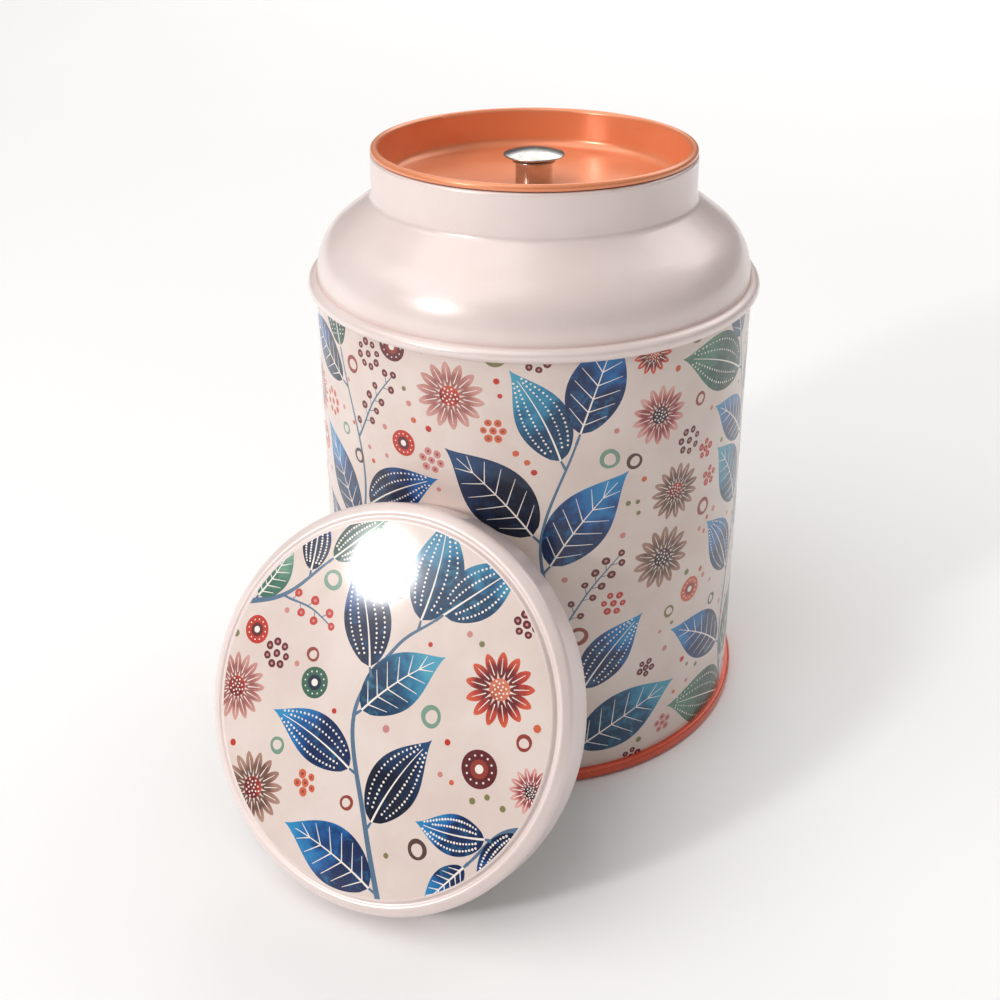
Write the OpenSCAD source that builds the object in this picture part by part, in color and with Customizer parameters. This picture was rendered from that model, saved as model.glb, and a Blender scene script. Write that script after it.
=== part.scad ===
// Round tinplate storage tin with a domed shoulder, a push-in inner lid with a knob, and a cap lid.
// Axis along +Z, table plane at z = 0, origin on the axis. The cap lid leans on the wall at -Y.

/* [Tin body] */
// Outer diameter of the side wall
wall_diameter = 140; // [136:0.5:144]
// Height of the top edge of the side wall, hidden inside the shoulder bead
wall_top = 146.8; // [146.6:0.05:146.9]
// Gauge of the tinplate, lacquer included
plate = 0.3; // [0.25:0.05:0.4]
// Height of the bottom seam
seam_height = 3.6; // [3.2:0.1:4.4]
// How far the bottom seam stands out from the side wall
seam_projection = 1.8; // [1.4:0.1:2.4]
// Height of the recessed bottom panel above the table
panel_lift = 2.7; // [2:0.1:3]
// Width of the folded lock seam at the back of the wall
lock_seam_width = 5; // [4:0.5:7]

/* [Shoulder and neck] */
// Height of the middle of the shoulder bead
bead_height = 145.5; // [145.3:0.05:145.6]
// Outer radius of the bead's rolled section
bead_roll = 2.1; // [2.05:0.05:2.2]
// Radius of the shoulder's rounded edge in section
shoulder_round = 19; // [17:0.5:21]
// Slope of the flat part of the shoulder from the horizontal
shoulder_slope = 37; // [34:1:40]
// Outer diameter of the neck
neck_diameter = 102.8; // [102:0.2:103.6]
// Height of the neck's curled top edge
neck_top = 185.9; // [185.5:0.1:186]
// Radius of the neck's curled edge in section
neck_curl = 0.98; // [0.9:0.02:1]
// Radius of the hollow corner where the neck meets the shoulder
neck_fillet = 2.5; // [1.5:0.5:4]

/* [Inner lid] */
// Inner diameter of the dish
dish_diameter = 97.4; // [96.8:0.2:97.6]
// Depth of the dish floor below its rim
dish_depth = 13.5; // [12:0.5:15]
// Inner radius of the dish's floor corner
dish_corner = 3.5; // [2.5:0.5:5]
// Radius of the rolled rim in section
rim_roll = 1.25; // [1.1:0.05:1.3]
// Height of the top of the seated rim
rim_top = 188.2; // [188.2:0.1:188.8]

/* [Knob] */
// Diameter of the knob's cap
cap_diameter = 19.3; // [17:0.1:22]
// Diameter of the knob's stem
stem_diameter = 11.8; // [10:0.1:13]
// Height from the dish floor to the cap's edge
knob_height = 9.4; // [8.8:0.1:10]
// Rise of the cap's rounded top
cap_rise = 1.5; // [1:0.1:2]
// Shank diameter of the knob's screw
screw_diameter = 4; // [3:0.5:5]
// Shank length of the knob's screw
screw_length = 8; // [6:0.5:8]

/* [Cap lid] */
// Outer diameter of the cap lid's skirt
lid_diameter = 110; // [109.4:0.2:110.8]
// Height of the straight part of the skirt
lid_skirt = 10.7; // [10:0.1:11.2]
// Height of the crest of the raised rim
lid_crest = 14.1; // [13.8:0.1:14.4]
// Radius of the raised rim in section
lid_rim = 1.1; // [0.9:0.05:1.3]
// Rise of the domed panel
panel_rise = 2; // [1:0.25:3]
// Lean of the cap lid against the tin, from upright
lid_lean = 29.5; // [20:0.5:34]
// Gap left between the leaning cap lid and the side wall
lid_gap = 0.3; // [0.2:0.1:1]

/* [Hidden] */
$fn = 144;
far = 400;
wall_r = wall_diameter / 2;
neck_r = neck_diameter / 2;
dish_r = dish_diameter / 2;
lid_r = lid_diameter / 2;
stem_r = stem_diameter / 2;
cap_r = cap_diameter / 2;
screw_r = screw_diameter / 2;

// lock seam of the wall
lock_seam_low = 5;
lock_seam_high = bead_height - 4;
lock_groove_width = 0.4;
lock_groove_depth = plate / 2;

// bottom end
seam_round = seam_projection / 2;
channel_floor = 0.6;
leg_outer_r = wall_r - plate;
leg_inner_r = leg_outer_r - 0.6;
panel_bead_r = wall_r - 10;
panel_bead = 1.4;

// shoulder section, from the bead up to the neck
crease_r = wall_r - 0.7;
round_x = crease_r - shoulder_round;
round_z = bead_height + 3.5;
slope_angle = 90 - shoulder_slope;
cone_low = [round_x + shoulder_round * cos(slope_angle), round_z + shoulder_round * sin(slope_angle)];
fillet_x = neck_r + neck_fillet;
cone_high_x = fillet_x - neck_fillet * cos(slope_angle);
cone_high_z = cone_low[1] + (cone_low[0] - cone_high_x) * tan(shoulder_slope);
fillet_z = cone_high_z + neck_fillet * sin(slope_angle);
bead_x = crease_r + 1;
curl_x = neck_r - neck_curl;
curl_z = neck_top - neck_curl;

// inner lid section
floor_z = rim_top - dish_depth;
rim_x = dish_r + rim_roll;
rim_z = rim_top - rim_roll;
rim_lip_z = neck_top + 0.35;
corner_x = dish_r - dish_corner;
corner_z = floor_z + dish_corner;

// knob and its fastening
washer_thickness = 0.8;
washer_r = 6;
screw_head_r = 4;
screw_head_height = 2.4;
screw_head_taper = 0.8;
screw_hole_r = screw_r + 0.1;
screw_recess_depth = 1.4;
screw_recess_length = 4.4;
screw_recess_width = 0.9;
collar_r = stem_r + 0.95;
collar_half = 0.55;
collar_z = floor_z + knob_height - 2;
cap_edge_z = floor_z + knob_height;
cap_edge_half = 0.35;
cap_ball = (pow(cap_r - cap_edge_half, 2) + pow(cap_rise, 2)) / (2 * cap_rise);

// cap lid section, in the lid's own frame with the open edge at the bottom
hem = 0.9;
hem_x = lid_r - hem;
// the slope outside the rim and the groove wall inside it follow 3-4-5 triangles
rim_bend = atan2(4, 3);
rim_inner_bend = 180 - rim_bend;
rim_inset = 2.9;
lid_rim_x = lid_r - rim_inset;
lid_rim_z = lid_crest - lid_rim;
rim_low = [lid_rim_x + lid_rim * cos(rim_bend), lid_rim_z + lid_rim * sin(rim_bend)];
edge_reach = (rim_low[0] - lid_r) * cos(rim_bend) + (rim_low[1] - lid_skirt) * sin(rim_bend);
edge_round = edge_reach / (1 - cos(rim_bend));
edge_x = lid_r - edge_round;
edge_high = [edge_x + edge_round * cos(rim_bend), lid_skirt + edge_round * sin(rim_bend)];
groove_round = 0.7;
groove_x = lid_rim_x + (lid_rim + groove_round) * cos(rim_inner_bend);
groove_z = lid_rim_z + (lid_rim + groove_round) * sin(rim_inner_bend);
panel_round = 0.7;
panel_r = groove_x - groove_round - panel_round;
panel_edge_z = groove_z + panel_round;
panel_ball = (pow(panel_r, 2) + pow(panel_rise, 2)) / (2 * panel_rise);

// where the leaning lid stands
lid_origin_z = hem_x * cos(lid_lean) - hem * sin(lid_lean) + hem;
lid_origin_y = -(wall_r + lid_gap) - hem_x * sin(lid_lean) + hem * cos(lid_lean) - hem;

// A wedge of a plane from angle a to angle b about a point, for spans under 270 degrees.
module wedge(x, z, a, b) {
    step = (b - a) / 4;
    polygon([
        [x, z],
        [x + far * cos(a), z + far * sin(a)],
        [x + far * cos(a + step), z + far * sin(a + step)],
        [x + far * cos(a + 2 * step), z + far * sin(a + 2 * step)],
        [x + far * cos(a + 3 * step), z + far * sin(a + 3 * step)],
        [x + far * cos(b), z + far * sin(b)]
    ]);
}

// A bent strip of plate in section: the arc between two radii from angle a to angle b.
module bend(x, z, outer, inner, a, b) {
    intersection() {
        difference() {
            translate([x, z]) circle(outer);
            translate([x, z]) circle(inner);
        }
        wedge(x, z, a, b);
    }
}

// A rectangle given by its two corners.
module slab(x0, z0, x1, z1) {
    translate([x0, z0]) square([x1 - x0, z1 - z0]);
}

module wall_section() {
    slab(wall_r - plate, channel_floor, wall_r, wall_top);
}

// The side wall is rolled from sheet: its two ends fold together in a flat lock seam at the back.
module side_wall() {
    seam_angle = lock_seam_width / wall_r * 180 / PI;
    seam_inner = wall_r - plate - 2 * plate;
    color([0.93, 0.86, 0.82]) {
        difference() {
            union() {
                rotate_extrude() wall_section();
                rotate([0, 0, 90 - seam_angle / 2])
                    rotate_extrude(angle = seam_angle)
                        slab(seam_inner, lock_seam_low, wall_r - plate / 2, lock_seam_high);
            }
            rotate([0, 0, 90 - seam_angle / 2])
                translate([wall_r - lock_groove_depth, -lock_groove_width / 2, -1])
                    cube([2, lock_groove_width, wall_top + 2]);
        }
    }
}

// The folded seam ring stands outside the wall, and the panel inside it is raised off the table.
module bottom_end_section() {
    difference() {
        union() {
            slab(leg_inner_r, 0, wall_r + seam_round, channel_floor);
            slab(wall_r, 0, wall_r + seam_round, seam_height);
            slab(wall_r + seam_round, seam_round, wall_r + seam_projection, seam_height - seam_round);
            translate([wall_r + seam_round, seam_round]) circle(seam_round);
            translate([wall_r + seam_round, seam_height - seam_round]) circle(seam_round);
            slab(leg_inner_r, 0, leg_outer_r, panel_lift + plate);
            slab(0, panel_lift, leg_outer_r, panel_lift + plate);
            translate([panel_bead_r, panel_lift]) circle(panel_bead);
        }
        translate([panel_bead_r, panel_lift]) circle(panel_bead - plate);
        slab(panel_bead_r - 2 * panel_bead, 0, panel_bead_r + 2 * panel_bead, panel_lift);
    }
}

module bottom_end() {
    color([0.87, 0.42, 0.26]) rotate_extrude() bottom_end_section();
}

// One drawn shell: curled neck edge, neck, sloping shoulder, rounded edge and the bead over the wall.
module shoulder_section() {
    // curled top edge of the neck, open at its inner lower side
    difference() {
        bend(curl_x, curl_z, neck_curl, neck_curl - plate, -45, 215);
        slab(curl_x, curl_z - 2 * neck_curl, neck_r - plate, curl_z);
    }
    slab(neck_r - plate, fillet_z, neck_r, curl_z);
    bend(fillet_x, fillet_z, neck_fillet + plate, neck_fillet, 180, 180 + slope_angle);
    // straight slope
    polygon([
        cone_low,
        [cone_high_x, cone_high_z],
        [cone_high_x - plate * cos(slope_angle), cone_high_z - plate * sin(slope_angle)],
        [cone_low[0] - plate * cos(slope_angle), cone_low[1] - plate * sin(slope_angle)]
    ]);
    bend(round_x, round_z, shoulder_round, shoulder_round - plate, 0, slope_angle);
    slab(crease_r - plate, bead_height + 1.2, crease_r, round_z);
    // bead over the top edge of the wall, closed against the wall's outer face
    difference() {
        translate([bead_x, bead_height]) circle(bead_roll);
        translate([bead_x, bead_height]) circle(bead_roll - plate);
        slab(bead_x - 2 * bead_roll, bead_height - 2 * bead_roll, wall_r, bead_height + 1.2);
        slab(bead_x - 2 * bead_roll, bead_height, crease_r - plate, bead_height + 2 * bead_roll);
    }
}

module shoulder_neck() {
    color([0.86, 0.77, 0.74]) rotate_extrude() shoulder_section();
}

// The dish hangs inside the neck from a rolled rim that covers the neck's curled edge.
module pan_section() {
    slab(screw_hole_r, floor_z - plate, corner_x, floor_z);
    bend(corner_x, corner_z, dish_corner + plate, dish_corner, 270, 360);
    slab(dish_r, corner_z, dish_r + plate, rim_z);
    difference() {
        translate([rim_x, rim_z]) circle(rim_roll);
        translate([rim_x, rim_z]) circle(rim_roll - plate);
        slab(rim_x - 2 * rim_roll, rim_z - 2 * rim_roll, rim_x, rim_z);
        slab(rim_x - 0.1, rim_z - 2 * rim_roll, rim_x + 2 * rim_roll, rim_lip_z);
    }
}

module inner_lid_pan() {
    color([0.9, 0.45, 0.28]) rotate_extrude() pan_section();
}

// Turned knob: stem, rounded collar, sloping underside and a rounded cap, with a blind screw hole.
module knob_section() {
    difference() {
        union() {
            slab(0, floor_z, stem_r, cap_edge_z);
            slab(0, collar_z - collar_half, collar_r - collar_half, collar_z + collar_half);
            translate([collar_r - collar_half, collar_z]) circle(collar_half);
            polygon([
                [0, collar_z],
                [stem_r + 0.3, collar_z + collar_half],
                [cap_r - 2 * cap_edge_half, cap_edge_z - cap_edge_half],
                [0, cap_edge_z]
            ]);
            slab(0, cap_edge_z - cap_edge_half, cap_r - cap_edge_half, cap_edge_z + cap_edge_half);
            translate([cap_r - cap_edge_half, cap_edge_z]) circle(cap_edge_half);
            intersection() {
                translate([0, cap_edge_z + cap_edge_half + cap_rise - cap_ball]) circle(cap_ball);
                slab(0, cap_edge_z, cap_r - cap_edge_half, cap_edge_z + 2 * cap_rise);
            }
        }
        slab(-1, floor_z - 1, screw_r, floor_z + screw_length - 0.6);
        slab(-far, 0, 0, far);
    }
}

module knob() {
    color([0.72, 0.72, 0.71]) rotate_extrude() knob_section();
}

module knob_washer() {
    color([0.75, 0.76, 0.77])
        translate([0, 0, floor_z - plate - washer_thickness])
            difference() {
                cylinder(h = washer_thickness, r = washer_r);
                translate([0, 0, -1]) cylinder(h = washer_thickness + 2, r = screw_hole_r);
            }
}

// Pan-head screw from below, with a cross recess in its head.
module knob_screw() {
    head_top_z = floor_z - plate - washer_thickness;
    color([0.7, 0.71, 0.73]) difference() {
        union() {
            translate([0, 0, head_top_z - screw_head_height + screw_head_taper])
                cylinder(h = screw_head_height - screw_head_taper, r = screw_head_r);
            translate([0, 0, head_top_z - screw_head_height])
                cylinder(h = screw_head_taper, r1 = screw_head_r - screw_head_taper, r2 = screw_head_r);
            translate([0, 0, head_top_z - 0.1]) cylinder(h = screw_length + 0.1, r = screw_r);
        }
        translate([0, 0, head_top_z - screw_head_height]) {
            cube([screw_recess_length, screw_recess_width, 2 * screw_recess_depth], center = true);
            cube([screw_recess_width, screw_recess_length, 2 * screw_recess_depth], center = true);
        }
    }
}

// Cap lid in section: hemmed skirt, rounded edge, slope, raised rim, groove and domed panel.
module cap_lid_section() {
    bend(hem_x, hem, hem, hem - plate, 135, 360);
    slab(lid_r - plate, hem, lid_r, lid_skirt);
    bend(edge_x, lid_skirt, edge_round, edge_round - plate, 0, rim_bend);
    polygon([
        edge_high,
        rim_low,
        [rim_low[0] - plate * cos(rim_bend), rim_low[1] - plate * sin(rim_bend)],
        [edge_high[0] - plate * cos(rim_bend), edge_high[1] - plate * sin(rim_bend)]
    ]);
    bend(lid_rim_x, lid_rim_z, lid_rim, lid_rim - plate, rim_bend, rim_inner_bend);
    bend(groove_x, groove_z, groove_round + plate, groove_round, 180, 180 + rim_inner_bend);
    bend(panel_r, groove_z, panel_round, panel_round - plate, 0, 90);
    // domed panel
    intersection() {
        difference() {
            translate([0, panel_edge_z + panel_rise - panel_ball]) circle(panel_ball);
            translate([0, panel_edge_z + panel_rise - panel_ball]) circle(panel_ball - plate);
        }
        slab(0, panel_edge_z - 2 * plate, panel_r, panel_edge_z + panel_rise + 1);
    }
}

// The cap lid stands on its hem in front of the tin and leans back on the wall.
module cap_lid() {
    color([0.92, 0.84, 0.8])
        translate([0, lid_origin_y, lid_origin_z])
            rotate([90 - lid_lean, 0, 0])
                rotate_extrude() cap_lid_section();
}

side_wall();
bottom_end();
shoulder_neck();
inner_lid_pan();
knob();
knob_washer();
knob_screw();
cap_lid();
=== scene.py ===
"""Looks for a round storage tin: a printed wall, a pearl shoulder, a coral inner lid and a printed cap lid.

The artwork is drawn as flat shapes on a sheet in millimetres, as a tin printer's sheet is, then the sheet is
rolled into the wall or pressed into the lid's panel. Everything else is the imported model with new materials.
"""

import math
import random

import bmesh
import bpy
import numpy as np
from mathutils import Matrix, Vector
from mathutils.geometry import delaunay_2d_cdt


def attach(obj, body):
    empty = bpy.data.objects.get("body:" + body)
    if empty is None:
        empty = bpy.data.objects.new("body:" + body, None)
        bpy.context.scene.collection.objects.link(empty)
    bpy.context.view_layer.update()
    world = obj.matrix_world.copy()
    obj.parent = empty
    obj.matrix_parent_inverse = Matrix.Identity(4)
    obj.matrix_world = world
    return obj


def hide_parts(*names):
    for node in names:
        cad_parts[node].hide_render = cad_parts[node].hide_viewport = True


MM = 0.001
# points closer than this are joined, in metres
WELD = 1e-6
# the width of a cut through the sheet, in millimetres
SLIVER = 0.01

# ---------------------------------------------------------------- sizes, in millimetres

WALL_RADIUS = 70.0
PLATE = 0.3
WALL_BOTTOM = 0.6
WALL_TOP = 146.8
WALL_SEGMENTS = 180
WALL_ROWS = 40
HALF_ROUND = math.pi * WALL_RADIUS

# the lock seam is at the back, where the two ends of the sheet meet
SEAM_WIDTH = 5.0
SEAM_MARGIN = 4.0
SEAM_GROOVE_PLACE = HALF_ROUND - SEAM_WIDTH / 2
SEAM_GROOVE_WIDTH = 0.4
SEAM_GROOVE_DEPTH = 0.15
SEAM_GROOVE_BEVEL = 0.048

LID_RADIUS = 55.0
LID_SKIRT = 10.7
LID_EDGE_ROUND = 3.0
LID_HEM = 0.9
LID_CREST = 14.1
LID_RIM_ROUND = 1.1
LID_RIM_INSET = 2.9
LID_GROOVE_ROUND = 0.7
LID_PRINT_RADIUS = 49.6
LID_SEGMENTS = 240

# the rim's arc and the groove's arc meet on a slope of 4 in 3
LID_SLOPE = math.degrees(math.atan2(4, 3))
LID_RIM = (LID_RADIUS - LID_RIM_INSET, LID_CREST - LID_RIM_ROUND)
LID_GROOVE = (
    LID_RIM[0] - (LID_RIM_ROUND + LID_GROOVE_ROUND) * 3 / 5,
    LID_RIM[1] + (LID_RIM_ROUND + LID_GROOVE_ROUND) * 4 / 5,
)
LID_PANEL_RADIUS = LID_GROOVE[0] - 2 * LID_GROOVE_ROUND
LID_PANEL_EDGE = LID_GROOVE[1] + LID_GROOVE_ROUND
LID_PANEL_RISE = 2.0
LID_PANEL_BALL = (LID_PANEL_RADIUS**2 + LID_PANEL_RISE**2) / (2 * LID_PANEL_RISE)

# the lid leans on the wall: its own right, up and outward directions, and the middle of its hem's plane
LID_LEAN = math.radians(29.5)
LID_GAP = 0.3
LID_RIGHT = Vector((1, 0, 0))
LID_UP = Vector((0, math.sin(LID_LEAN), math.cos(LID_LEAN)))
LID_OUT = Vector((0, -math.cos(LID_LEAN), math.sin(LID_LEAN)))
LID_ORIGIN = (
    Vector((0, -WALL_RADIUS - LID_GAP - LID_HEM, LID_HEM))
    + (LID_RADIUS - LID_HEM) * Vector((0, -LID_UP.y, LID_UP.z))
    - LID_HEM * LID_OUT
)


def srgb(red, green, blue):
    """A colour given as 8-bit sRGB, as linear RGBA."""

    def linear(value):
        value /= 255
        return value / 12.92 if value <= 0.04045 else ((value + 0.055) / 1.055) ** 2.4

    return (linear(red), linear(green), linear(blue), 1.0)


# ---------------------------------------------------------------- inks

PAPER = "paper"
WASH = "wash"
SPINE_STEPS = 24
INK_LAYERS = ("ink_light", "ink_deep", "ink_dark")
INKS = {
    "white": srgb(240, 230, 222),
    "navy": srgb(24, 38, 62),
    "slate": srgb(84, 112, 138),
    "red": srgb(190, 52, 38),
    "brick": srgb(148, 62, 52),
    "maroon": srgb(98, 38, 42),
    "rose": srgb(202, 132, 128),
    "orange": srgb(206, 98, 66),
    "olive": srgb(128, 122, 78),
    "brown": srgb(88, 62, 56),
    "green": srgb(58, 98, 80),
    "sage": srgb(120, 152, 134),
}

# the light, deep and dark colours that each painted wash runs through
TONES = {
    "teal": (srgb(74, 158, 184), srgb(32, 112, 152), srgb(18, 58, 92)),
    "blue": (srgb(46, 140, 192), srgb(24, 88, 154), srgb(16, 38, 82)),
    "deep": (srgb(34, 110, 172), srgb(20, 60, 122), srgb(14, 28, 60)),
    "night": (srgb(30, 70, 112), srgb(18, 38, 72), srgb(12, 22, 44)),
    "sage": (srgb(138, 172, 150), srgb(94, 142, 118), srgb(58, 108, 90)),
    "moss": (srgb(100, 142, 120), srgb(62, 104, 88), srgb(38, 72, 62)),
    "bronze": (srgb(176, 136, 120), srgb(146, 104, 90), srgb(110, 78, 66)),
    "dusty": (srgb(208, 156, 146), srgb(188, 124, 116), srgb(160, 98, 92)),
    "pink": (srgb(222, 168, 160), srgb(196, 112, 106), srgb(150, 66, 68)),
    "ember": (srgb(216, 96, 66), srgb(178, 60, 50), srgb(112, 36, 38)),
    "umber": (srgb(128, 92, 88), srgb(88, 56, 60), srgb(52, 34, 42)),
    "coral": (srgb(226, 146, 116), srgb(206, 108, 80), srgb(176, 76, 56)),
}

DAISY_TONES = (
    ("dusty", "ember"),
    ("ember", "coral"),
    ("bronze", "umber"),
    ("pink", "umber"),
    ("bronze", "ember"),
)
BUTTON_INKS = (
    ("red", "maroon"),
    ("maroon", "brick"),
    ("green", "navy"),
    ("orange", "brick"),
    ("red", "orange"),
)
LEAF_TONES = ("blue", "teal", "deep", "night", "sage", "moss")
LEAF_TONE_SHARES = (5, 4, 3, 1, 1, 1)

# ---------------------------------------------------------------- motifs, in millimetres

# the spacing of the points that keep bare paper from being cut into long slivers
SHEET_SPACING = 3.0
WALL_PLANTS = 6
# how far a leaf reaches along its plant's stem and aside from it, as shares of its size
LEAF_ALONG = 0.66
LEAF_ASIDE = 0.75
LEAF_DOT = 0.34
FERN_LEAFLET = 5.2
BERRY_RADIUS = 1.15
BERRY_PITCH = 3.0
BUTTON_DOTS = 12
DAISY_DOTS = 16
GOLDEN_TURN = math.pi * (3 - math.sqrt(5))

# ---------------------------------------------------------------- outlines on the sheet


def curve(points, steps=6):
    """A smooth line through the given points, as an array of points."""
    points = [np.array(p, float) for p in points]
    padded = [2 * points[0] - points[1]] + points + [2 * points[-1] - points[-2]]
    line = []
    for a, b, c, d in zip(padded, padded[1:], padded[2:], padded[3:]):
        for k in range(steps):
            t = k / steps
            square, cube = 2 * a - 5 * b + 4 * c - d, 3 * b - a - 3 * c + d
            line.append(0.5 * (2 * b + (c - a) * t + square * t * t + cube * t**3))
    line.append(points[-1])
    return np.array(line)


def across(line):
    """The unit normal at each point of a line, to the left of its direction."""
    along = np.gradient(line, axis=0)
    along /= np.maximum(np.linalg.norm(along, axis=1, keepdims=True), 1e-9)
    return np.stack([-along[:, 1], along[:, 0]], axis=1)


def stroke(line, start, end=None):
    """The outline of a brush stroke along a line, from one width to another."""
    widths = np.linspace(start, start if end is None else end, len(line))[:, None] / 2
    side = across(line)
    return np.concatenate([line + side * widths, (line - side * widths)[::-1]])


def oval(centre, radius, count=24, angle=0.0):
    """A circle, as a ring of points."""
    turn = np.linspace(0, 2 * math.pi, count, endpoint=False) + angle
    return np.stack([centre[0] + radius * np.cos(turn), centre[1] + radius * np.sin(turn)], axis=1)


def hand_drawn(centre, radius, wobble, rng, count=22):
    """A circle drawn by hand, a little out of round."""
    turn = np.linspace(0, 2 * math.pi, count, endpoint=False)
    two, three = rng.uniform(0, 6.28), rng.uniform(0, 6.28)
    radii = radius * (1 + wobble * (np.sin(2 * turn + two) + 0.6 * np.sin(3 * turn + three)))
    return np.stack([centre[0] + radii * np.cos(turn), centre[1] + radii * np.sin(turn)], axis=1)


def toward(centre, angle, distance):
    """The point at a distance from a centre in a direction."""
    return np.array([centre[0] + distance * math.cos(angle), centre[1] + distance * math.sin(angle)])


def leaf_frame(base, tip, width, bend):
    """The spine of a leaf, its normals, and half its width at each point of the spine."""
    base, tip = np.array(base, float), np.array(tip, float)
    aside = np.array([-(tip - base)[1], (tip - base)[0]]) / np.linalg.norm(tip - base)
    middle = (base + tip) / 2 + aside * bend
    t = np.linspace(0, 1, SPINE_STEPS + 1)[:, None]
    spine = (1 - t) ** 2 * base + 2 * t * (1 - t) * middle + t * t * tip
    half = width / 2 * np.sin(math.pi * t**0.8) ** (0.75 + 0.5 * t)
    half[-1] = half[0] = 0.02
    return spine, across(spine), half


def leaf_edge(spine, side, half):
    """The outline of a leaf."""
    return np.concatenate([spine + side * half, (spine - side * half)[-2:0:-1]])


class Artwork:
    """Closed shapes in paint order on a flat sheet. A later shape covers an earlier one."""

    def __init__(self, seed):
        self.shapes = []
        self.taken = []
        self.rng = random.Random(seed)

    def paint(self, outline, ink, tone=None, start=(0, 0), end=(0, 1)):
        """Adds a shape in a flat ink, or in a wash that runs through a tone's colours from start to end."""
        outline = np.asarray(outline, float)
        x, y = outline[:, 0], outline[:, 1]
        if np.sum(x * np.roll(y, -1) - y * np.roll(x, -1)) < 0:
            outline = outline[::-1]
        self.shapes.append(
            {
                "outline": outline,
                "ink": ink,
                "tone": tone,
                "start": np.array(start, float),
                "end": np.array(end, float),
                "seed": self.rng.uniform(0, 40),
            }
        )

    # ------------------------------------------------ room on the sheet

    def take(self, centre, radius):
        """Marks a round patch of the sheet as covered."""
        self.taken.append((centre[0], centre[1], radius))

    def has_room(self, centre, radius):
        """Whether a round patch is still clear of everything marked as covered."""
        return all(math.hypot(centre[0] - x, centre[1] - y) > radius + r for x, y, r in self.taken)

    def scatter(self, anywhere, draw, smallest, largest, tries, gap):
        """Draws a motif at random spots, wherever there is still room for it."""
        for _ in range(tries):
            spot, radius = anywhere(self.rng), self.rng.uniform(smallest, largest)
            if self.has_room(spot, radius + gap):
                draw(spot, radius)
                self.take(spot, radius)

    # ------------------------------------------------ small marks

    def dot(self, centre, radius, ink, count=8):
        """A plain small disc."""
        self.paint(oval(centre, radius, count=count, angle=self.rng.uniform(0, 1)), ink)

    def speck(self, centre, radius):
        """A plain dot in one of the warm inks."""
        self.dot(centre, radius, self.rng.choice(("rose", "rose", "orange", "red", "olive")), 10)

    def ring(self, centre, radius):
        """A hand-drawn ring, thicker on one side."""
        shift = toward(centre, self.rng.uniform(0, 6.28), 0.07 * radius)
        outer = hand_drawn(centre, radius, 0.03, self.rng)
        self.paint(outer, self.rng.choice(("olive", "brown", "sage", "brick")))
        self.paint(hand_drawn(shift, radius * 0.6, 0.05, self.rng), PAPER)

    def berry(self, centre, radius, ink):
        """A round berry with a small core in a darker or paler ink."""
        self.paint(hand_drawn(centre, radius, 0.04, self.rng, 14), ink)
        self.dot(centre, radius * 0.36, "rose" if ink in ("red", "maroon") else "brick", 8)

    def berries(self, centre, radius):
        """A loose round cluster of berries in one ink."""
        ink = self.rng.choice(("rose", "rose", "orange", "red", "maroon"))
        self.berry(centre, BERRY_RADIUS, ink)
        count = max(3, round(2 * math.pi * (radius - BERRY_RADIUS) / BERRY_PITCH))
        turn = self.rng.uniform(0, 6.28)
        for k in range(count):
            spot = toward(centre, turn + 2 * math.pi * k / count, radius - BERRY_RADIUS)
            self.berry(spot, BERRY_RADIUS * self.rng.uniform(0.85, 1.1), ink)

    def button(self, centre, radius):
        """A round flower of plain discs, one on the other, with a circle of dots."""
        outer, inner = self.rng.choice(BUTTON_INKS)
        self.paint(hand_drawn(centre, radius, 0.015, self.rng, 32), outer)
        for k in range(BUTTON_DOTS):
            self.dot(toward(centre, k * 2 * math.pi / BUTTON_DOTS, radius * 0.72), radius * 0.06, "white", 6)
        self.paint(oval(centre, radius * 0.5, count=20), inner)
        self.dot(centre, radius * 0.24, "white", 12)

    def daisy(self, centre, radius):
        """A flower with one row of narrow petals round a dotted middle."""
        tone, core = self.rng.choice(DAISY_TONES)
        petals, turn = self.rng.randint(12, 17), self.rng.uniform(0, 1)
        for k in range(petals):
            angle = turn + 2 * math.pi * k / petals
            base, tip = toward(centre, angle, radius * 0.2), toward(centre, angle, radius)
            spine, side, half = leaf_frame(tip, base, 3.9 * radius / petals, 0)
            self.paint(leaf_edge(spine, side, half), WASH, tone, tip, base)
            self.paint(stroke(spine[5:19], 0.14, 0.3), "white")
        middle, start, end = oval(centre, radius * 0.3), toward(centre, 1, radius), toward(centre, 4, radius)
        self.paint(middle, WASH, core, start, end)
        for k in range(DAISY_DOTS):
            spot = toward(centre, k * GOLDEN_TURN, radius * 0.25 * math.sqrt((k + 0.5) / DAISY_DOTS))
            self.dot(spot, 0.022 * radius + 0.08, "white", 6)

    # ------------------------------------------------ leaves and stems

    def stem(self, points, start, end):
        """A curved stem, from one width to another."""
        self.paint(stroke(curve(points), start, end), "slate")

    def leaf(self, base, tip, width, bend, tone, marks):
        """A painted leaf that darkens towards its stalk, with a pale midrib and veins or rows of dots."""
        spine, side, half = leaf_frame(base, tip, width, bend)
        self.paint(leaf_edge(spine, side, half), WASH, tone, tip, base)
        last = SPINE_STEPS - 2
        for sign in (1, -1):
            if marks == "veins":
                for k in range(2, last - 3, 3):
                    end = spine[k + 3] + sign * side[k + 3] * half[k + 3] * 0.82
                    self.paint(stroke(np.array([spine[k], (spine[k] + end) / 2, end]), 0.34, 0.14), "white")
            else:
                for share in (0.36, 0.72):
                    for k in range(3, last):
                        if half[k, 0] * share > 0.9:
                            spot = spine[k] + sign * side[k] * half[k] * share
                            self.dot(spot, LEAF_DOT * self.rng.uniform(0.8, 1.1), "white", 7)
        self.paint(stroke(spine[:last], 0.6, 0.18), "white")
        for k in range(3, SPINE_STEPS, 4):
            self.take(spine[k], float(half[k, 0]))

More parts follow.
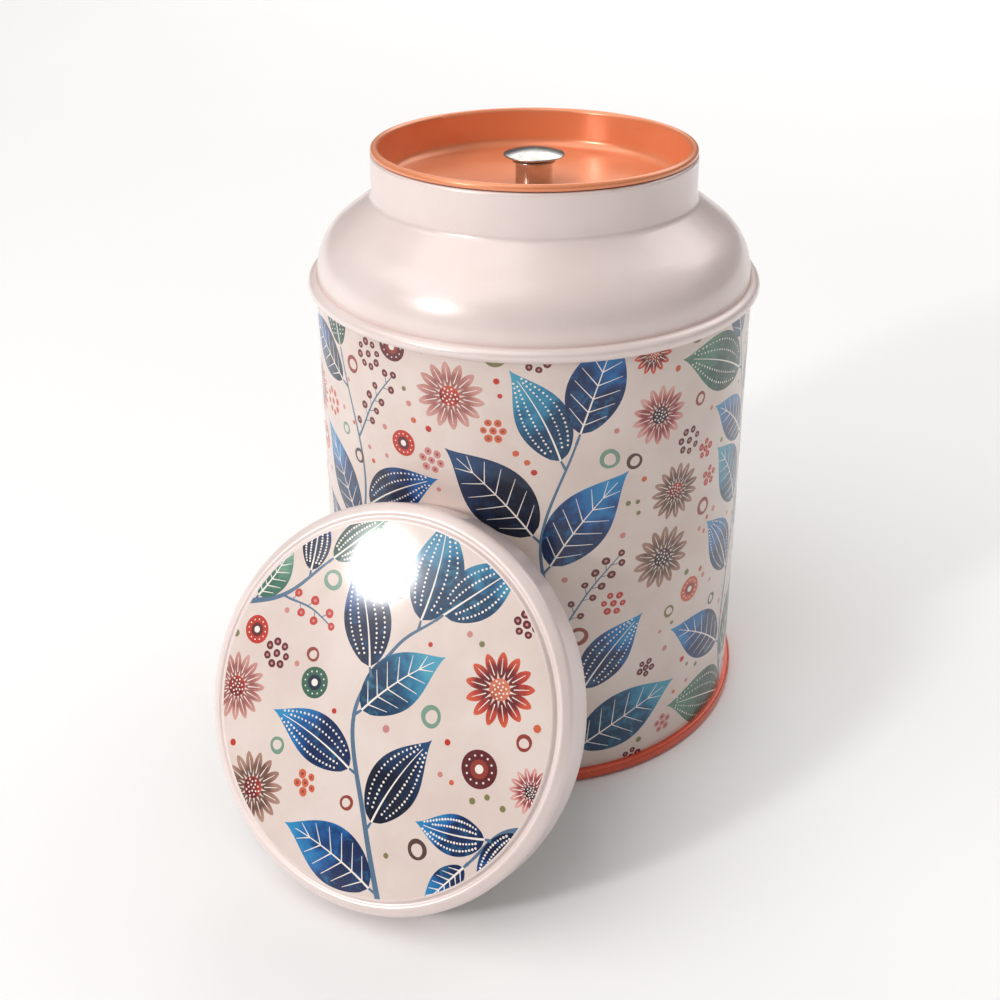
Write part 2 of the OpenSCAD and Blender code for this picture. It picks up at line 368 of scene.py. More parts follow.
    def spray(self, foot, tip, ink):
        """A thin twig with a berry at each turn."""
        line = curve([foot, (foot + tip) / 2 + across(np.array([foot, tip]))[0] * 1.2, tip])
        self.paint(stroke(line, 0.7, 0.35), "slate")
        length = np.linalg.norm(tip - foot)
        count = max(4, round(length / 2.6))
        for k in range(count):
            row = round((k + 1.2) / (count + 0.2) * (len(line) - 1))
            sign = 0 if k == count - 1 else (-1) ** k
            spot = line[row] + sign * across(line)[row] * 2.4
            if sign:
                self.stem([line[max(row - 1, 0)], spot], 0.3, 0.2)
            self.berry(spot, BERRY_RADIUS * self.rng.uniform(0.95, 1.2), ink)
            self.take(spot, BERRY_RADIUS * 1.5)

    def fern(self, foot, tip, ink):
        """A thin stem with pairs of small plain leaflets and one at its end."""
        line = curve([foot, (foot + tip) / 2 + across(np.array([foot, tip]))[0] * 1.5, tip])
        along, side = np.gradient(line, axis=0), across(line)
        along /= np.linalg.norm(along, axis=1, keepdims=True)
        self.paint(stroke(line, 0.6, 0.3), ink)
        length = np.linalg.norm(tip - foot)
        pairs = max(3, round(length / 4))
        feet = [(round((k + 0.7) / pairs * (len(line) - 2)), sign) for k in range(pairs) for sign in (1, -1)]
        for row, sign in feet + [(len(line) - 1, 0)]:
            end = line[row] + (along[row] * (0.7 if sign else 1) + sign * side[row] * 0.7) * FERN_LEAFLET
            spine, normal, half = leaf_frame(line[row], end, FERN_LEAFLET * 0.36, 0)
            self.paint(leaf_edge(spine, normal, half), ink)
            self.take(end, 1.5)
        for row in range(0, len(line), 2):
            self.take(line[row], FERN_LEAFLET * 0.6)

    def plant(self, points, nodes, size):
        """A curved stem that bears a leaf, a flower, a fern or berries at each node, on alternate sides."""
        line = curve(points, 12)
        side = across(line)
        along = np.stack([side[:, 1], -side[:, 0]], axis=1)
        self.paint(stroke(line, 1.7, 0.7), "slate")
        for k in range(nodes + 1):
            row = round(min(1, (k + 0.7) / (nodes + 0.5)) * (len(line) - 1))
            sign = 0 if k == nodes else (-1) ** k
            grow = along[row] * (LEAF_ALONG if sign else 1) + sign * side[row] * LEAF_ASIDE
            reach = size * self.rng.uniform(0.88, 1.12)
            foot = line[row] + grow * 0.1 * size
            kind = self.rng.choices(("leaf", "daisy", "spray", "fern"), (10, 1, 1, 1))[0] if sign else "leaf"
            middle = foot + grow * reach * 0.55
            if not self.has_room(middle, reach * 0.24) or not self.has_room(foot + grow * reach, 1.0):
                continue
            self.stem([line[row], foot], 1.0, 0.6)
            if kind == "leaf":
                tone = self.rng.choices(LEAF_TONES, LEAF_TONE_SHARES)[0]
                marks = self.rng.choice(("veins", "dots"))
                width = reach * self.rng.uniform(0.46, 0.54)
                self.leaf(foot, foot + grow * reach, width, -sign * 0.09 * reach, tone, marks)
            elif kind == "daisy":
                centre = foot + grow * reach * 0.6
                self.stem([foot, centre], 0.7, 0.5)
                self.daisy(centre, reach * 0.3)
                self.take(centre, reach * 0.3)
            elif kind == "spray":
                self.spray(foot, foot + grow * reach * 0.8, self.rng.choice(("red", "orange", "maroon")))
            else:
                self.fern(foot, foot + grow * reach * 0.7, self.rng.choice(("brick", "green", "brick")))
        for spot in line[::4]:
            self.take(spot, 1.0)

    def fill(self, anywhere, area):
        """Fills what is left of a sheet of that area, the largest motifs first.

        Each row gives a motif, its smallest and largest radius, how often it is tried on a square millimetre,
        and the gap around it.
        """
        for draw, smallest, largest, share, gap in (
            (self.daisy, 9.0, 12.5, 0.006, 1.0),
            (self.daisy, 6.0, 7.5, 0.002, 1.2),
            (self.button, 3.8, 5.4, 0.006, 1.4),
            (self.berries, 3.4, 5.0, 0.008, 1.0),
            (self.ring, 2.0, 3.4, 0.012, 1.1),
            (self.speck, 0.7, 1.1, 0.02, 1.4),
        ):
            self.scatter(anywhere, draw, smallest, largest, round(share * area), gap)


# ---------------------------------------------------------------- the two sheets


def draw_wall(art):
    """The wall's artwork: tall plants all the way round, with flowers and berries between them."""
    pitch = 2 * HALF_ROUND / WALL_PLANTS
    for k in range(WALL_PLANTS):
        middle = -HALF_ROUND + (k + 0.5) * pitch
        sway = 7 if k % 2 else -7
        heights = np.linspace(-8, 118 if k % 2 else 132, 5)
        shifts = (-0.6, 0.7, -0.2, -1.0, 0.4)
        line = [(middle + sway * shift, height) for shift, height in zip(shifts, heights)]
        art.plant(line, nodes=11, size=34)
    art.fill(
        lambda rng: (rng.uniform(-HALF_ROUND, HALF_ROUND), rng.uniform(2, 146)),
        2 * HALF_ROUND * WALL_TOP,
    )


def draw_lid(art):
    """The cap lid's artwork: one plant up the middle and a smaller one at each side."""
    art.plant([(14, -56), (3, -30), (-6, -4), (2, 16), (12, 26)], nodes=7, size=27)
    art.plant([(-52, 16), (-36, 22), (-24, 34)], nodes=3, size=19)
    art.plant([(54, -18), (42, -22), (34, -32)], nodes=2, size=18)
    art.fill(
        lambda rng: toward((0, 0), rng.uniform(0, 6.28), LID_PRINT_RADIUS * math.sqrt(rng.random())),
        math.pi * LID_PRINT_RADIUS**2,
    )


# ---------------------------------------------------------------- from artwork to mesh


def triangulated(art, border):
    """Cuts the sheet inside border into triangles along every outline.

    Returns the points, the triangles, and the topmost shape at each triangle, -1 for bare paper.
    """
    points, faces = [], []
    for outline in [border] + [s["outline"] for s in art.shapes]:
        faces.append(list(range(len(points), len(points) + len(outline))))
        points.extend(Vector(p) for p in outline)
    low, high = border.min(axis=0) + SHEET_SPACING / 3, border.max(axis=0) - SHEET_SPACING / 3
    columns, rows = np.round((high - low) / SHEET_SPACING).astype(int)
    for gx in np.linspace(low[0], high[0], columns):
        for gy in np.linspace(low[1], high[1], rows):
            points.append(Vector((gx, gy)))
    flat, _, cells, _, _, sources = delaunay_2d_cdt(points, [], faces, 0, 1e-4)
    kept, top = [], []
    for cell, source in zip(cells, sources):
        if 0 in source and len(cell) == 3:
            kept.append(tuple(cell))
            top.append(max(source) - 1)
    return np.array([tuple(p) for p in flat]), np.array(kept), np.array(top)


def sheet_mesh(name, art, flat, cells, top, place, bare=None):
    """A mesh of the cut sheet, placed by a function from sheet to space, with its inks as attributes.

    bare tells which points of the sheet carry no print at all.
    """
    used, cells = np.unique(cells, return_inverse=True)
    flat, cells = flat[used], cells.reshape(-1, 3)
    mesh = bpy.data.meshes.new(name)
    mesh.from_pydata((place(flat) * MM).tolist(), [], cells.tolist())
    slots = [PAPER, WASH] + list(INKS)
    count = len(cells)
    index, seed = np.zeros(count, int), np.zeros(count)
    colours = np.ones((3, count, 4))
    start, end = np.zeros((count, 2)), np.ones((count, 2))
    for k, shape in enumerate(art.shapes):
        mine = top == k
        index[mine] = slots.index(shape["ink"])
        if shape["tone"]:
            for row, colour in zip(colours, TONES[shape["tone"]]):
                row[mine] = colour
            start[mine], end[mine], seed[mine] = shape["start"], shape["end"], shape["seed"]
    if bare is not None:
        index[bare(flat[cells].mean(axis=1))] = len(slots)
    mesh.polygons.foreach_set("material_index", index.astype(np.int32))

    corners = flat[cells]
    axis = (end - start)[:, None, :]
    along = ((corners - start[:, None, :]) * axis).sum(axis=2) / (axis**2).sum(axis=2)
    sheet = np.concatenate([corners, np.repeat(seed[:, None, None], 3, axis=1)], axis=2)
    for label, values in (("sheet", sheet), ("wash", np.repeat(along[:, :, None], 3, axis=2))):
        attribute = mesh.attributes.new(label, "FLOAT_VECTOR", "CORNER")
        attribute.data.foreach_set("vector", values.reshape(-1).astype(np.float32))
    for label, values in zip(INK_LAYERS, colours):
        attribute = mesh.attributes.new(label, "FLOAT_COLOR", "CORNER")
        attribute.data.foreach_set("color", np.repeat(values, 3, axis=0).reshape(-1).astype(np.float32))
    return mesh


def set_normals(mesh, normal_at):
    """Gives every vertex the exact normal of the surface that it lies on."""
    co = np.zeros(len(mesh.vertices) * 3, np.float32)
    mesh.vertices.foreach_get("co", co)
    normals = normal_at(co.reshape(-1, 3) / MM)
    mesh.polygons.foreach_set("use_smooth", np.ones(len(mesh.polygons), bool))
    mesh.normals_split_custom_set_from_vertices([tuple(n) for n in normals])


def new_piece(name, mesh, body, materials):
    """A piece that moves with a CAD body, with the materials it is given."""
    piece = bpy.data.objects.new(name, mesh)
    bpy.context.scene.collection.objects.link(piece)
    for material in materials:
        mesh.materials.append(material)
    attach(piece, body)
    return piece


# ---------------------------------------------------------------- materials


class Look:
    """A material with one Principled surface, and short calls that add nodes to it."""

    def __init__(self, name, **sockets):
        self.material = bpy.data.materials.new(name)
        self.material.use_nodes = True
        self.tree = self.material.node_tree
        self.surface = self.tree.nodes["Principled BSDF"]
        for socket, value in sockets.items():
            label = socket.replace("_", " ").title().replace("Ior", "IOR")
            self.surface.inputs[label].default_value = value
        self.place = self.node("ShaderNodeTexCoord").outputs["Object"]

    def node(self, kind, **settings):
        """A new node with its settings."""
        made = self.tree.nodes.new(kind)
        for key, value in settings.items():
            setattr(made, key, value)
        return made

    def link(self, source, target):
        """Joins a node's output to another node's input."""
        self.tree.links.new(source, target)

    def feed(self, source, socket):
        """Sends a node's output to a socket of the surface."""
        self.link(source, self.surface.inputs[socket])

    def attribute(self, name):
        """A value that the mesh carries."""
        return self.node("ShaderNodeAttribute", attribute_name=name)

    def scaled(self, vector, factors):
        """A vector stretched along each axis."""
        made = self.node("ShaderNodeVectorMath", operation="MULTIPLY")
        self.link(vector, made.inputs[0])
        made.inputs[1].default_value = factors
        return made.outputs[0]

    def noise(self, scale, detail=2.0, rough=0.5, vector=None, distortion=0.0):
        """Smooth noise of that many waves to a metre, or to a unit of the given vector."""
        made = self.node("ShaderNodeTexNoise")
        made.inputs["Scale"].default_value = scale
        made.inputs["Detail"].default_value = detail
        made.inputs["Roughness"].default_value = rough
        made.inputs["Distortion"].default_value = distortion
        self.link(vector or self.place, made.inputs["Vector"])
        return made.outputs["Fac"]

    def spread(self, value, low, high, start=0.0, end=1.0):
        """Maps a value from low..high to start..end, smoothly and held at both ends."""
        made = self.node("ShaderNodeMapRange", interpolation_type="SMOOTHSTEP")
        self.link(value, made.inputs["Value"])
        for socket, number in (("From Min", low), ("From Max", high), ("To Min", start), ("To Max", end)):
            made.inputs[socket].default_value = number
        return made.outputs["Result"]

    def maths(self, operation, a, b):
        """Arithmetic on two values, each a number or a node's output."""
        made = self.node("ShaderNodeMath", operation=operation)
        for socket, value in zip(made.inputs, (a, b)):
            if isinstance(value, (int, float)):
                socket.default_value = value
            else:
                self.link(value, socket)
        return made.outputs[0]

    def mix(self, factor, a, b, blend="MIX"):
        """Mixes two colours, each a colour or a node's output."""
        made = self.node("ShaderNodeMix", data_type="RGBA", blend_type=blend)
        for socket, value in ((made.inputs[0], factor), (made.inputs[6], a), (made.inputs[7], b)):
            if isinstance(value, (int, float, tuple)):
                socket.default_value = value
            else:
                self.link(value, socket)
        return made.outputs[2]

    def bump(self, height, distance, strength):
        """A small relief, of that depth in metres."""
        made = self.node("ShaderNodeBump")
        made.inputs["Strength"].default_value = strength
        made.inputs["Distance"].default_value = distance
        self.link(height, made.inputs["Height"])
        self.feed(made.outputs["Normal"], "Normal")


def varnish(look):
    """The printer's clear varnish over ink: glossy, a little uneven like orange peel."""
    peel = look.noise(900, 1.0)
    swell = look.noise(60, 2.0)
    look.bump(look.maths("ADD", look.maths("MULTIPLY", peel, 0.3), swell), 0.00005, 0.25)
    look.feed(look.spread(look.noise(140, 3.0), 0.3, 0.7, 0.3, 0.42), "Roughness")


VARNISH = {"coat_weight": 0.6, "coat_roughness": 0.09, "specular_ior_level": 0.25}


def ground_material():
    """The pale rose-cream ground of the print, faintly mottled."""
    look = Look("print_ground", **VARNISH)
    mottle = look.noise(45, 4.0, 0.6)
    base = look.mix(look.spread(mottle, 0.3, 0.7), srgb(228, 212, 204), srgb(219, 200, 191))
    fleck = look.spread(look.noise(1400, 2.0), 0.68, 0.8, 0.0, 0.12)
    look.feed(look.mix(fleck, base, srgb(196, 172, 160)), "Base Color")
    varnish(look)
    return look.material


def wash_material():
    """Watercolour: each shape runs through its three inks, with soft pools and a little grain."""
    look = Look("print_wash", **VARNISH)
    sheet = look.attribute("sheet").outputs["Vector"]
    light, deep, dark = (look.attribute(name).outputs["Color"] for name in INK_LAYERS)
    along = look.attribute("wash").outputs["Fac"]
    pool = look.maths("SUBTRACT", look.noise(0.13, 3.0, 0.5, sheet, 0.4), 0.5)
    run = look.maths("ADD", along, look.maths("MULTIPLY", pool, 0.9))
    ink = look.mix(look.spread(run, 0.0, 0.5), light, deep)
    ink = look.mix(look.spread(run, 0.34, 0.62), ink, dark)
    thin = look.spread(look.noise(0.3, 3.0, 0.5, sheet, 0.8), 0.5, 0.75, 0.0, 0.35)
    ink = look.mix(thin, ink, light)
    grain = look.spread(look.noise(2.2, 3.0, 0.6, sheet), 0.4, 0.75, 0.0, 0.22)
    look.feed(look.mix(grain, ink, (0.6, 0.62, 0.68, 1.0), "MULTIPLY"), "Base Color")
    varnish(look)
    return look.material


def ink_material(name, colour):
    """A flat line ink under the varnish."""
    look = Look("ink_" + name, base_color=colour, **VARNISH)
    varnish(look)
    return look.material


def pearl_material():
    """Rose pearl lacquer on tinplate: satin, with fine flake and faint handling marks."""
    look = Look("pearl_lacquer", metallic=0.12, coat_weight=0.4, coat_roughness=0.16)
    cloud = look.noise(22, 3.0, 0.55)
    base = look.mix(look.spread(cloud, 0.3, 0.7), srgb(239, 223, 219), srgb(230, 212, 207))
    flake = look.spread(look.noise(2600, 1.0), 0.56, 0.75, 0.0, 0.2)
    base = look.mix(flake, base, srgb(246, 236, 232))
    dust = look.spread(look.noise(1500, 2.0), 0.62, 0.78, 0.0, 0.06)
    look.feed(look.mix(dust, base, srgb(150, 126, 120)), "Base Color")
    look.feed(look.spread(look.noise(40, 3.0), 0.3, 0.7, 0.29, 0.36), "Roughness")
    look.bump(look.noise(1200, 2.0), 0.00001, 0.25)
    return look.material


def coral_material(name, light, dark):
    """Coral lacquer on tinplate: satin, slightly translucent over the metal."""
    look = Look(name, metallic=0.25, coat_weight=0.4, coat_roughness=0.15)
    cloud = look.noise(30, 3.0, 0.55)
    base = look.mix(look.spread(cloud, 0.3, 0.7), light, dark)
    flake = look.spread(look.noise(900, 2.0), 0.55, 0.75, 0.0, 0.1)
    look.feed(look.mix(flake, base, srgb(246, 180, 140)), "Base Color")
    look.feed(look.spread(look.noise(40, 2.0), 0.3, 0.7, 0.28, 0.36), "Roughness")
    return look.material


def tinplate_material():
    """Bare tinplate: bright, with the fine grain of the rolling mill."""
    look = Look("bare_tinplate", metallic=1.0)
    grain = look.noise(1, 2.0, 0.5, look.scaled(look.place, (2400, 2400, 160)))
    spangle = look.noise(60, 2.0, 0.5)
    base = look.mix(look.spread(spangle, 0.3, 0.7), srgb(228, 226, 221), srgb(220, 218, 213))
    look.feed(base, "Base Color")
    look.feed(look.spread(grain, 0.3, 0.7, 0.34, 0.4), "Roughness")
    look.bump(grain, 0.00001, 0.2)
    return look.material


def knob_material():
    """Turned and polished metal, with faint rings left by the tool."""
    look = Look("polished_knob", metallic=1.0)
    spot = look.node("ShaderNodeSeparateXYZ")
    look.link(look.place, spot.inputs[0])
    squares = [look.maths("POWER", spot.outputs[axis], 2.0) for axis in (0, 1)]
    rings = look.node("ShaderNodeTexNoise", noise_dimensions="1D")
    rings.inputs["Scale"].default_value = 5200
    rings.inputs["Detail"].default_value = 2.0
    look.link(look.maths("SQRT", look.maths("ADD", *squares), 0.0), rings.inputs["W"])
    smudge = look.noise(160, 4.0, 0.6)
    base = look.mix(look.spread(smudge, 0.35, 0.7), srgb(206, 205, 201), srgb(180, 178, 173))
    look.feed(base, "Base Color")
    look.feed(look.spread(smudge, 0.3, 0.7, 0.14, 0.26), "Roughness")
    look.bump(rings.outputs["Fac"], 0.00002, 0.35)
    return look.material


def steel_material():
    """Zinc-plated steel for the hidden screw and washer."""
    look = Look("zinc_steel", metallic=1.0)
    mottle = look.noise(600, 3.0, 0.6)
    base = look.mix(look.spread(mottle, 0.3, 0.7), srgb(186, 188, 192), srgb(164, 166, 172))
    look.feed(base, "Base Color")
    look.feed(look.spread(mottle, 0.3, 0.7, 0.3, 0.45), "Roughness")
    look.bump(mottle, 0.00003, 0.3)
    return look.material


def floor_material():
    """A matt pale studio ground."""
    look = Look("studio_floor", roughness=0.7, specular_ior_level=0.2)
    tint = look.noise(3, 2.0)
    base = look.mix(look.spread(tint, 0.3, 0.7), (0.93, 0.93, 0.925, 1), (0.92, 0.92, 0.92, 1))
    look.feed(base, "Base Color")
    return look.material


# ---------------------------------------------------------------- the printed wall


def wall_place(flat):
    """Rolls the sheet round the wall: x runs round from the front at -Y, y goes up."""
    turn = flat[:, 0] / WALL_RADIUS
    inside = np.abs(flat[:, 0] - SEAM_GROOVE_PLACE) < SEAM_GROOVE_WIDTH / 2 - SLIVER
    radius = np.where(inside, WALL_RADIUS - SEAM_GROOVE_DEPTH, WALL_RADIUS)
    return np.stack([radius * np.sin(turn), -radius * np.cos(turn), flat[:, 1]], axis=1)


def wall_normals(points):
    """The wall's normals: outward on its printed face, inward on its bare one."""
    radius = np.hypot(points[:, 0], points[:, 1])
    between = WALL_RADIUS - (SEAM_GROOVE_DEPTH + PLATE) / 2
    sign = np.where(radius > between, 1.0, -1.0)[:, None]
    return sign * np.stack([points[:, 0] / radius, points[:, 1] / radius, np.zeros(len(points))], axis=1)


def wall_border():
    """The outline of the wall's sheet, with a point at each step along its edges."""
    columns = np.linspace(-HALF_ROUND, HALF_ROUND, WALL_SEGMENTS + 1)
    rows = np.linspace(WALL_BOTTOM, WALL_TOP, WALL_ROWS)
    return np.array(
        [(x, WALL_BOTTOM) for x in columns[:-1]]
        + [(HALF_ROUND, y) for y in rows[:-1]]
        + [(x, WALL_TOP) for x in columns[:0:-1]]
        + [(-HALF_ROUND, y) for y in rows[:0:-1]]
    )


def cut_seam_groove(art):
    """Cuts the sheet along both edges of the lock seam's groove, so that the groove can be sunk."""
    half = SEAM_GROOVE_WIDTH / 2
    for shift in (-half, -half + SEAM_GROOVE_BEVEL, half - SEAM_GROOVE_BEVEL, half):
        left = SEAM_GROOVE_PLACE + shift
        right = left + SLIVER
        art.paint([(left, WALL_BOTTOM), (right, WALL_BOTTOM), (right, WALL_TOP), (left, WALL_TOP)], PAPER)


def inner_ring(shell, z):
    """A ring of points on the wall's inner face, nearer the middle where the lock seam is folded."""
    ring = []
    for k in range(WALL_SEGMENTS):
        turn = 2 * math.pi * k / WALL_SEGMENTS
        from_seam = abs(math.remainder(turn - math.pi, 2 * math.pi)) * WALL_RADIUS
        fold = 2 * PLATE if from_seam < SEAM_WIDTH / 2 else 0
        radius = (WALL_RADIUS - PLATE - fold) * MM
        ring.append(shell.verts.new((radius * math.sin(turn), -radius * math.cos(turn), z * MM)))
    return ring


def close_wall(mesh, tin_slot):
    """Adds the wall's inner face and its two cut edges to the printed outer face."""
    shell = bmesh.new()
    shell.from_mesh(mesh)
    bmesh.ops.remove_doubles(shell, verts=shell.verts, dist=WELD)
    bmesh.ops.recalc_face_normals(shell, faces=shell.faces)
    low, high = inner_ring(shell, WALL_BOTTOM), inner_ring(shell, WALL_TOP)
    for k in range(WALL_SEGMENTS):
        n = (k + 1) % WALL_SEGMENTS
        shell.faces.new((low[n], low[k], high[k], high[n])).material_index = tin_slot
    for z in (WALL_BOTTOM * MM, WALL_TOP * MM):
        rim = [e for e in shell.edges if e.is_boundary and all(abs(v.co.z - z) < WELD / 10 for v in e.verts)]
        for face in bmesh.ops.bridge_loops(shell, edges=rim)["faces"]:
            face.material_index = tin_slot
    shell.to_mesh(mesh)
    shell.free()


def build_wall(materials, tinplate):
    """The side wall as one closed sheet: print outside, bare tinplate inside and along the seam."""
    art = Artwork(14)
    draw_wall(art)
    cut_seam_groove(art)
    flat, cells, top = triangulated(art, wall_border())

    def bare(middle):
        return np.abs(middle[:, 0]) > HALF_ROUND - SEAM_MARGIN

    mesh = sheet_mesh("wall_print", art, flat, cells, top, wall_place, bare)
    close_wall(mesh, len(materials))
    set_normals(mesh, wall_normals)
    wall = new_piece("wall_print", mesh, "tin", materials + [tinplate])
    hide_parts("side_wall")


# ---------------------------------------------------------------- the printed cap lid


def dome_height(reach, ball):
    """The height of the lid's domed panel at a distance from its middle, on a ball of that radius."""
    return LID_PANEL_EDGE + LID_PANEL_RISE - LID_PANEL_BALL + np.sqrt(ball**2 - reach**2)


def lid_place(flat, height=None):
    """Lays the sheet on the lid's domed panel and stands the lid up, leaning on the wall."""
    if height is None:
        height = dome_height(np.hypot(flat[:, 0], flat[:, 1]), LID_PANEL_BALL)
    return (
        np.array(LID_ORIGIN)
        + flat[:, :1] * np.array(LID_RIGHT)
        + flat[:, 1:] * np.array(LID_UP)
        + height[:, None] * np.array(LID_OUT)
    )


def bent(centre, radius, start, end, steps):
    """Points along an arc of the lid's section, angles in degrees."""
    return [
        (centre[0] + radius * math.cos(math.radians(a)), centre[1] + radius * math.sin(math.radians(a)))
        for a in np.linspace(start, end, steps)
    ]


def lid_section():
    """The lid's section: from the print over the rim and round the hem, and from there back inside."""
    panel = (LID_PANEL_RADIUS, LID_PANEL_EDGE - LID_GROOVE_ROUND)
    edge = (LID_RADIUS - LID_EDGE_ROUND, LID_SKIRT)
    hem = (LID_RADIUS - LID_HEM, LID_HEM)
    outside = bent(panel, LID_GROOVE_ROUND, 90, 0, 7)
    outside += bent(LID_GROOVE, LID_GROOVE_ROUND, 180, 360 - LID_SLOPE, 11)[1:]
    outside += bent(LID_RIM, LID_RIM_ROUND, 180 - LID_SLOPE, LID_SLOPE, 13)[1:]
    outside += bent(edge, LID_EDGE_ROUND, LID_SLOPE, 0, 12)
    outside += [(LID_RADIUS, LID_SKIRT / 2)]
    outside += bent(hem, LID_HEM, 0, -225, 17)
    outside += bent(hem, LID_HEM - PLATE, -225, 0, 15)
    inside = [(LID_RADIUS - PLATE, LID_SKIRT / 2)]
    inside += bent(edge, LID_EDGE_ROUND - PLATE, 0, LID_SLOPE, 9)
    inside += bent(LID_RIM, LID_RIM_ROUND - PLATE, LID_SLOPE, 180 - LID_SLOPE, 9)
    inside += bent(LID_GROOVE, LID_GROOVE_ROUND + PLATE, 360 - LID_SLOPE, 180, 9)[1:]
    inside += bent(panel, LID_GROOVE_ROUND - PLATE, 0, 90, 5)[1:]
    inside += [(radius, dome_height(radius, LID_PANEL_BALL - PLATE)) for radius in range(48, 4, -6)]
    return outside, inside


def close_lid(mesh, pearl_slot, tin_slot):
    """Turns the lid's section round its middle and joins it to the edge of the printed panel."""
    shell = bmesh.new()
    shell.from_mesh(mesh)
    start = (LID_PRINT_RADIUS, dome_height(LID_PRINT_RADIUS, LID_PANEL_BALL))
    outside, inside = lid_section()
    rings = []
    for radius, height in [start] + outside + inside:
        circle = oval((0, 0), radius, LID_SEGMENTS)
        placed = lid_place(circle, np.full(LID_SEGMENTS, height)) * MM
        rings.append([shell.verts.new(point) for point in placed])
    for k, (ring, following) in enumerate(zip(rings, rings[1:])):
        for i in range(LID_SEGMENTS):
            n = (i + 1) % LID_SEGMENTS
            face = shell.faces.new((ring[i], ring[n], following[n], following[i]))
            face.material_index = pearl_slot if k < len(outside) else tin_slot
    shell.faces.new(rings[-1][::-1]).material_index = tin_slot
    bmesh.ops.remove_doubles(shell, verts=shell.verts, dist=2 * WELD)
    bmesh.ops.recalc_face_normals(shell, faces=shell.faces)
    shell.to_mesh(mesh)
    shell.free()
    mesh.polygons.foreach_set("use_smooth", np.ones(len(mesh.polygons), bool))


def build_lid(materials, pearl, tinplate):
    """The cap lid as one closed shell: printed panel, pearl rim and skirt, bare inside."""
    art = Artwork(8)
    draw_lid(art)
    flat, cells, top = triangulated(art, oval((0, 0), LID_PRINT_RADIUS, LID_SEGMENTS))
    mesh = sheet_mesh("cap_lid_print", art, flat, cells, top, lid_place)
    close_lid(mesh, len(materials), len(materials) + 1)
    lid = new_piece("cap_lid_print", mesh, "cap_lid", materials + [pearl, tinplate])
    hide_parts("cap_lid")


# ---------------------------------------------------------------- camera, light and floor


# in metres
FLOOR_RADIUS = 4.0
FLOOR_GAP = 0.0002
FLOOR_SEGMENTS = 96


def set_camera():
    """The camera looks down on the tin from the front right, with the lens shifted a little."""
    azimuth, pitch = math.radians(23.1), math.radians(21.0)
    data = bpy.data.cameras.new("camera")
    data.lens = 43.7
    data.sensor_width = 36.0
    data.shift_x = -0.0145
    data.shift_y = -0.2
    data.clip_start = 0.01
    camera = bpy.data.objects.new("camera", data)
    bpy.context.scene.collection.objects.link(camera)
    camera.location = (0.1404, -0.3449, 0.2779)
    ahead = Vector(
        (-math.sin(azimuth) * math.cos(pitch), math.cos(azimuth) * math.cos(pitch), -math.sin(pitch))
    )
    camera.rotation_euler = ahead.to_track_quat("-Z", "Y").to_euler()
    bpy.context.scene.camera = camera


def soft_light(name, place, target, width, height, power, colour=(1, 1, 1)):
    """A round or oval soft light that faces a target."""
    data = bpy.data.lights.new(name, "AREA")
    data.shape = "ELLIPSE"
    data.size = width
    data.size_y = height
    data.energy = power
    data.color = colour
    light = bpy.data.objects.new(name, data)
    bpy.context.scene.collection.objects.link(light)
    light.location = place
    light.rotation_euler = (Vector(target) - Vector(place)).to_track_quat("-Z", "Y").to_euler()


def pale_world():
    """A dim white surround that looks pale behind the floor."""
    world = bpy.data.worlds.new("studio")
    world.use_nodes = True
    tree = world.node_tree
    path, strength = tree.nodes.new("ShaderNodeLightPath"), tree.nodes.new("ShaderNodeMapRange")
    strength.inputs["To Min"].default_value = 0.1
    strength.inputs["To Max"].default_value = 0.84
    tree.links.new(path.outputs["Is Camera Ray"], strength.inputs["Value"])
    tree.links.new(strength.outputs["Result"], tree.nodes["Background"].inputs["Strength"])
    tree.nodes["Background"].inputs["Color"].default_value = (1, 1, 1, 1)
    return world


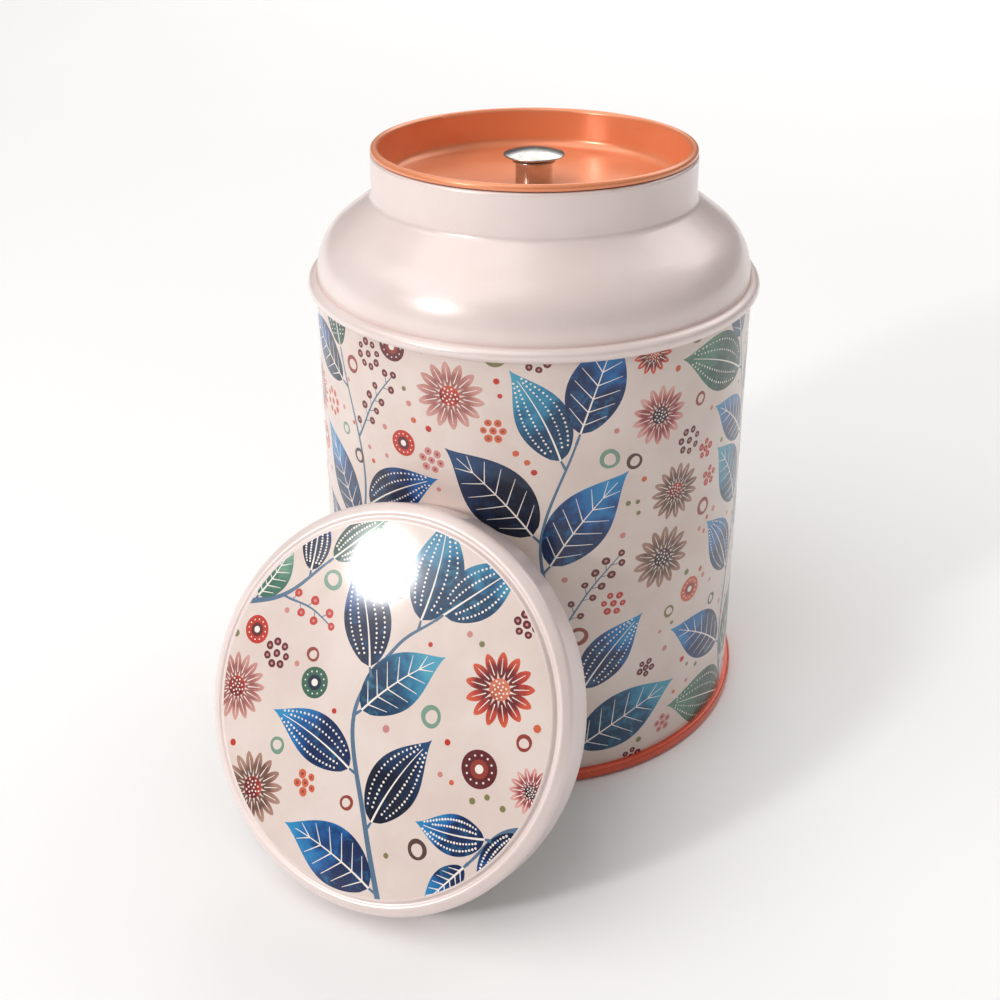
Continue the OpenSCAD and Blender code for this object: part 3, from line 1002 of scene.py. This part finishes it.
def set_studio():
    """A pale floor, a soft key and a small lamp at the front left, and soft light on the far floor."""
    scene = bpy.context.scene
    scene.view_settings.view_transform = "Standard"
    scene.world = pale_world()

    ring = [(x, y, -FLOOR_GAP) for x, y in oval((0, 0), FLOOR_RADIUS, FLOOR_SEGMENTS)]
    mesh = bpy.data.meshes.new("floor")
    mesh.from_pydata(ring, [], [list(range(FLOOR_SEGMENTS))])
    mesh.materials.append(floor_material())
    floor = bpy.data.objects.new("floor", mesh)
    scene.collection.objects.link(floor)

    middle = (0, -0.03, 0.09)
    soft_light("key", (-1.6, -1.7, 4.0), middle, 5.0, 5.0, 100, (1.0, 0.98, 0.96))
    soft_light("lamp", (-0.545, -1.05, 0.61), (0, -0.1, 0.08), 0.15, 0.15, 5.5)
    soft_light("ceiling", (0, 2.5, 3.4), (0, 2.5, 0), 14, 14, 200, (1.0, 0.975, 0.95))
    soft_light("back", (0.2, 3.0, 2.4), (0.2, 3.0, 0), 5.5, 3.5, 75)


# ---------------------------------------------------------------- putting it together


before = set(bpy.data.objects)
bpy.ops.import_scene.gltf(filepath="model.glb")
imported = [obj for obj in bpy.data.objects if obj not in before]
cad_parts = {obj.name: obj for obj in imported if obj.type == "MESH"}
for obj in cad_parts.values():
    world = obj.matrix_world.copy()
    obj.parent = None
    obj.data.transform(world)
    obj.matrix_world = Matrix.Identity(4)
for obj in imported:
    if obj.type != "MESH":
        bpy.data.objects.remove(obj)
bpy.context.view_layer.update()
set_camera()
set_studio()

pearl = pearl_material()
tinplate = tinplate_material()
steel = steel_material()
print_materials = [ground_material(), wash_material()] + [ink_material(n, c) for n, c in INKS.items()]

build_wall(print_materials, tinplate)
build_lid(print_materials, pearl, tinplate)
for node, material in (
    # the bottom end takes a darker, redder copy of the dish's coral lacquer: painted shade for the low ring
    ("bottom_end", coral_material("coral_lacquer_painted_shade", srgb(222, 90, 58), srgb(210, 80, 50))),
    ("shoulder_neck", pearl),
    ("inner_lid_pan", coral_material("coral_lacquer", srgb(240, 154, 110), srgb(234, 143, 98))),
    ("knob", knob_material()),
    ("knob_washer", steel),
    ("knob_screw", steel),
):
    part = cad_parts[node]
    for slot in part.material_slots:
        slot.material = material
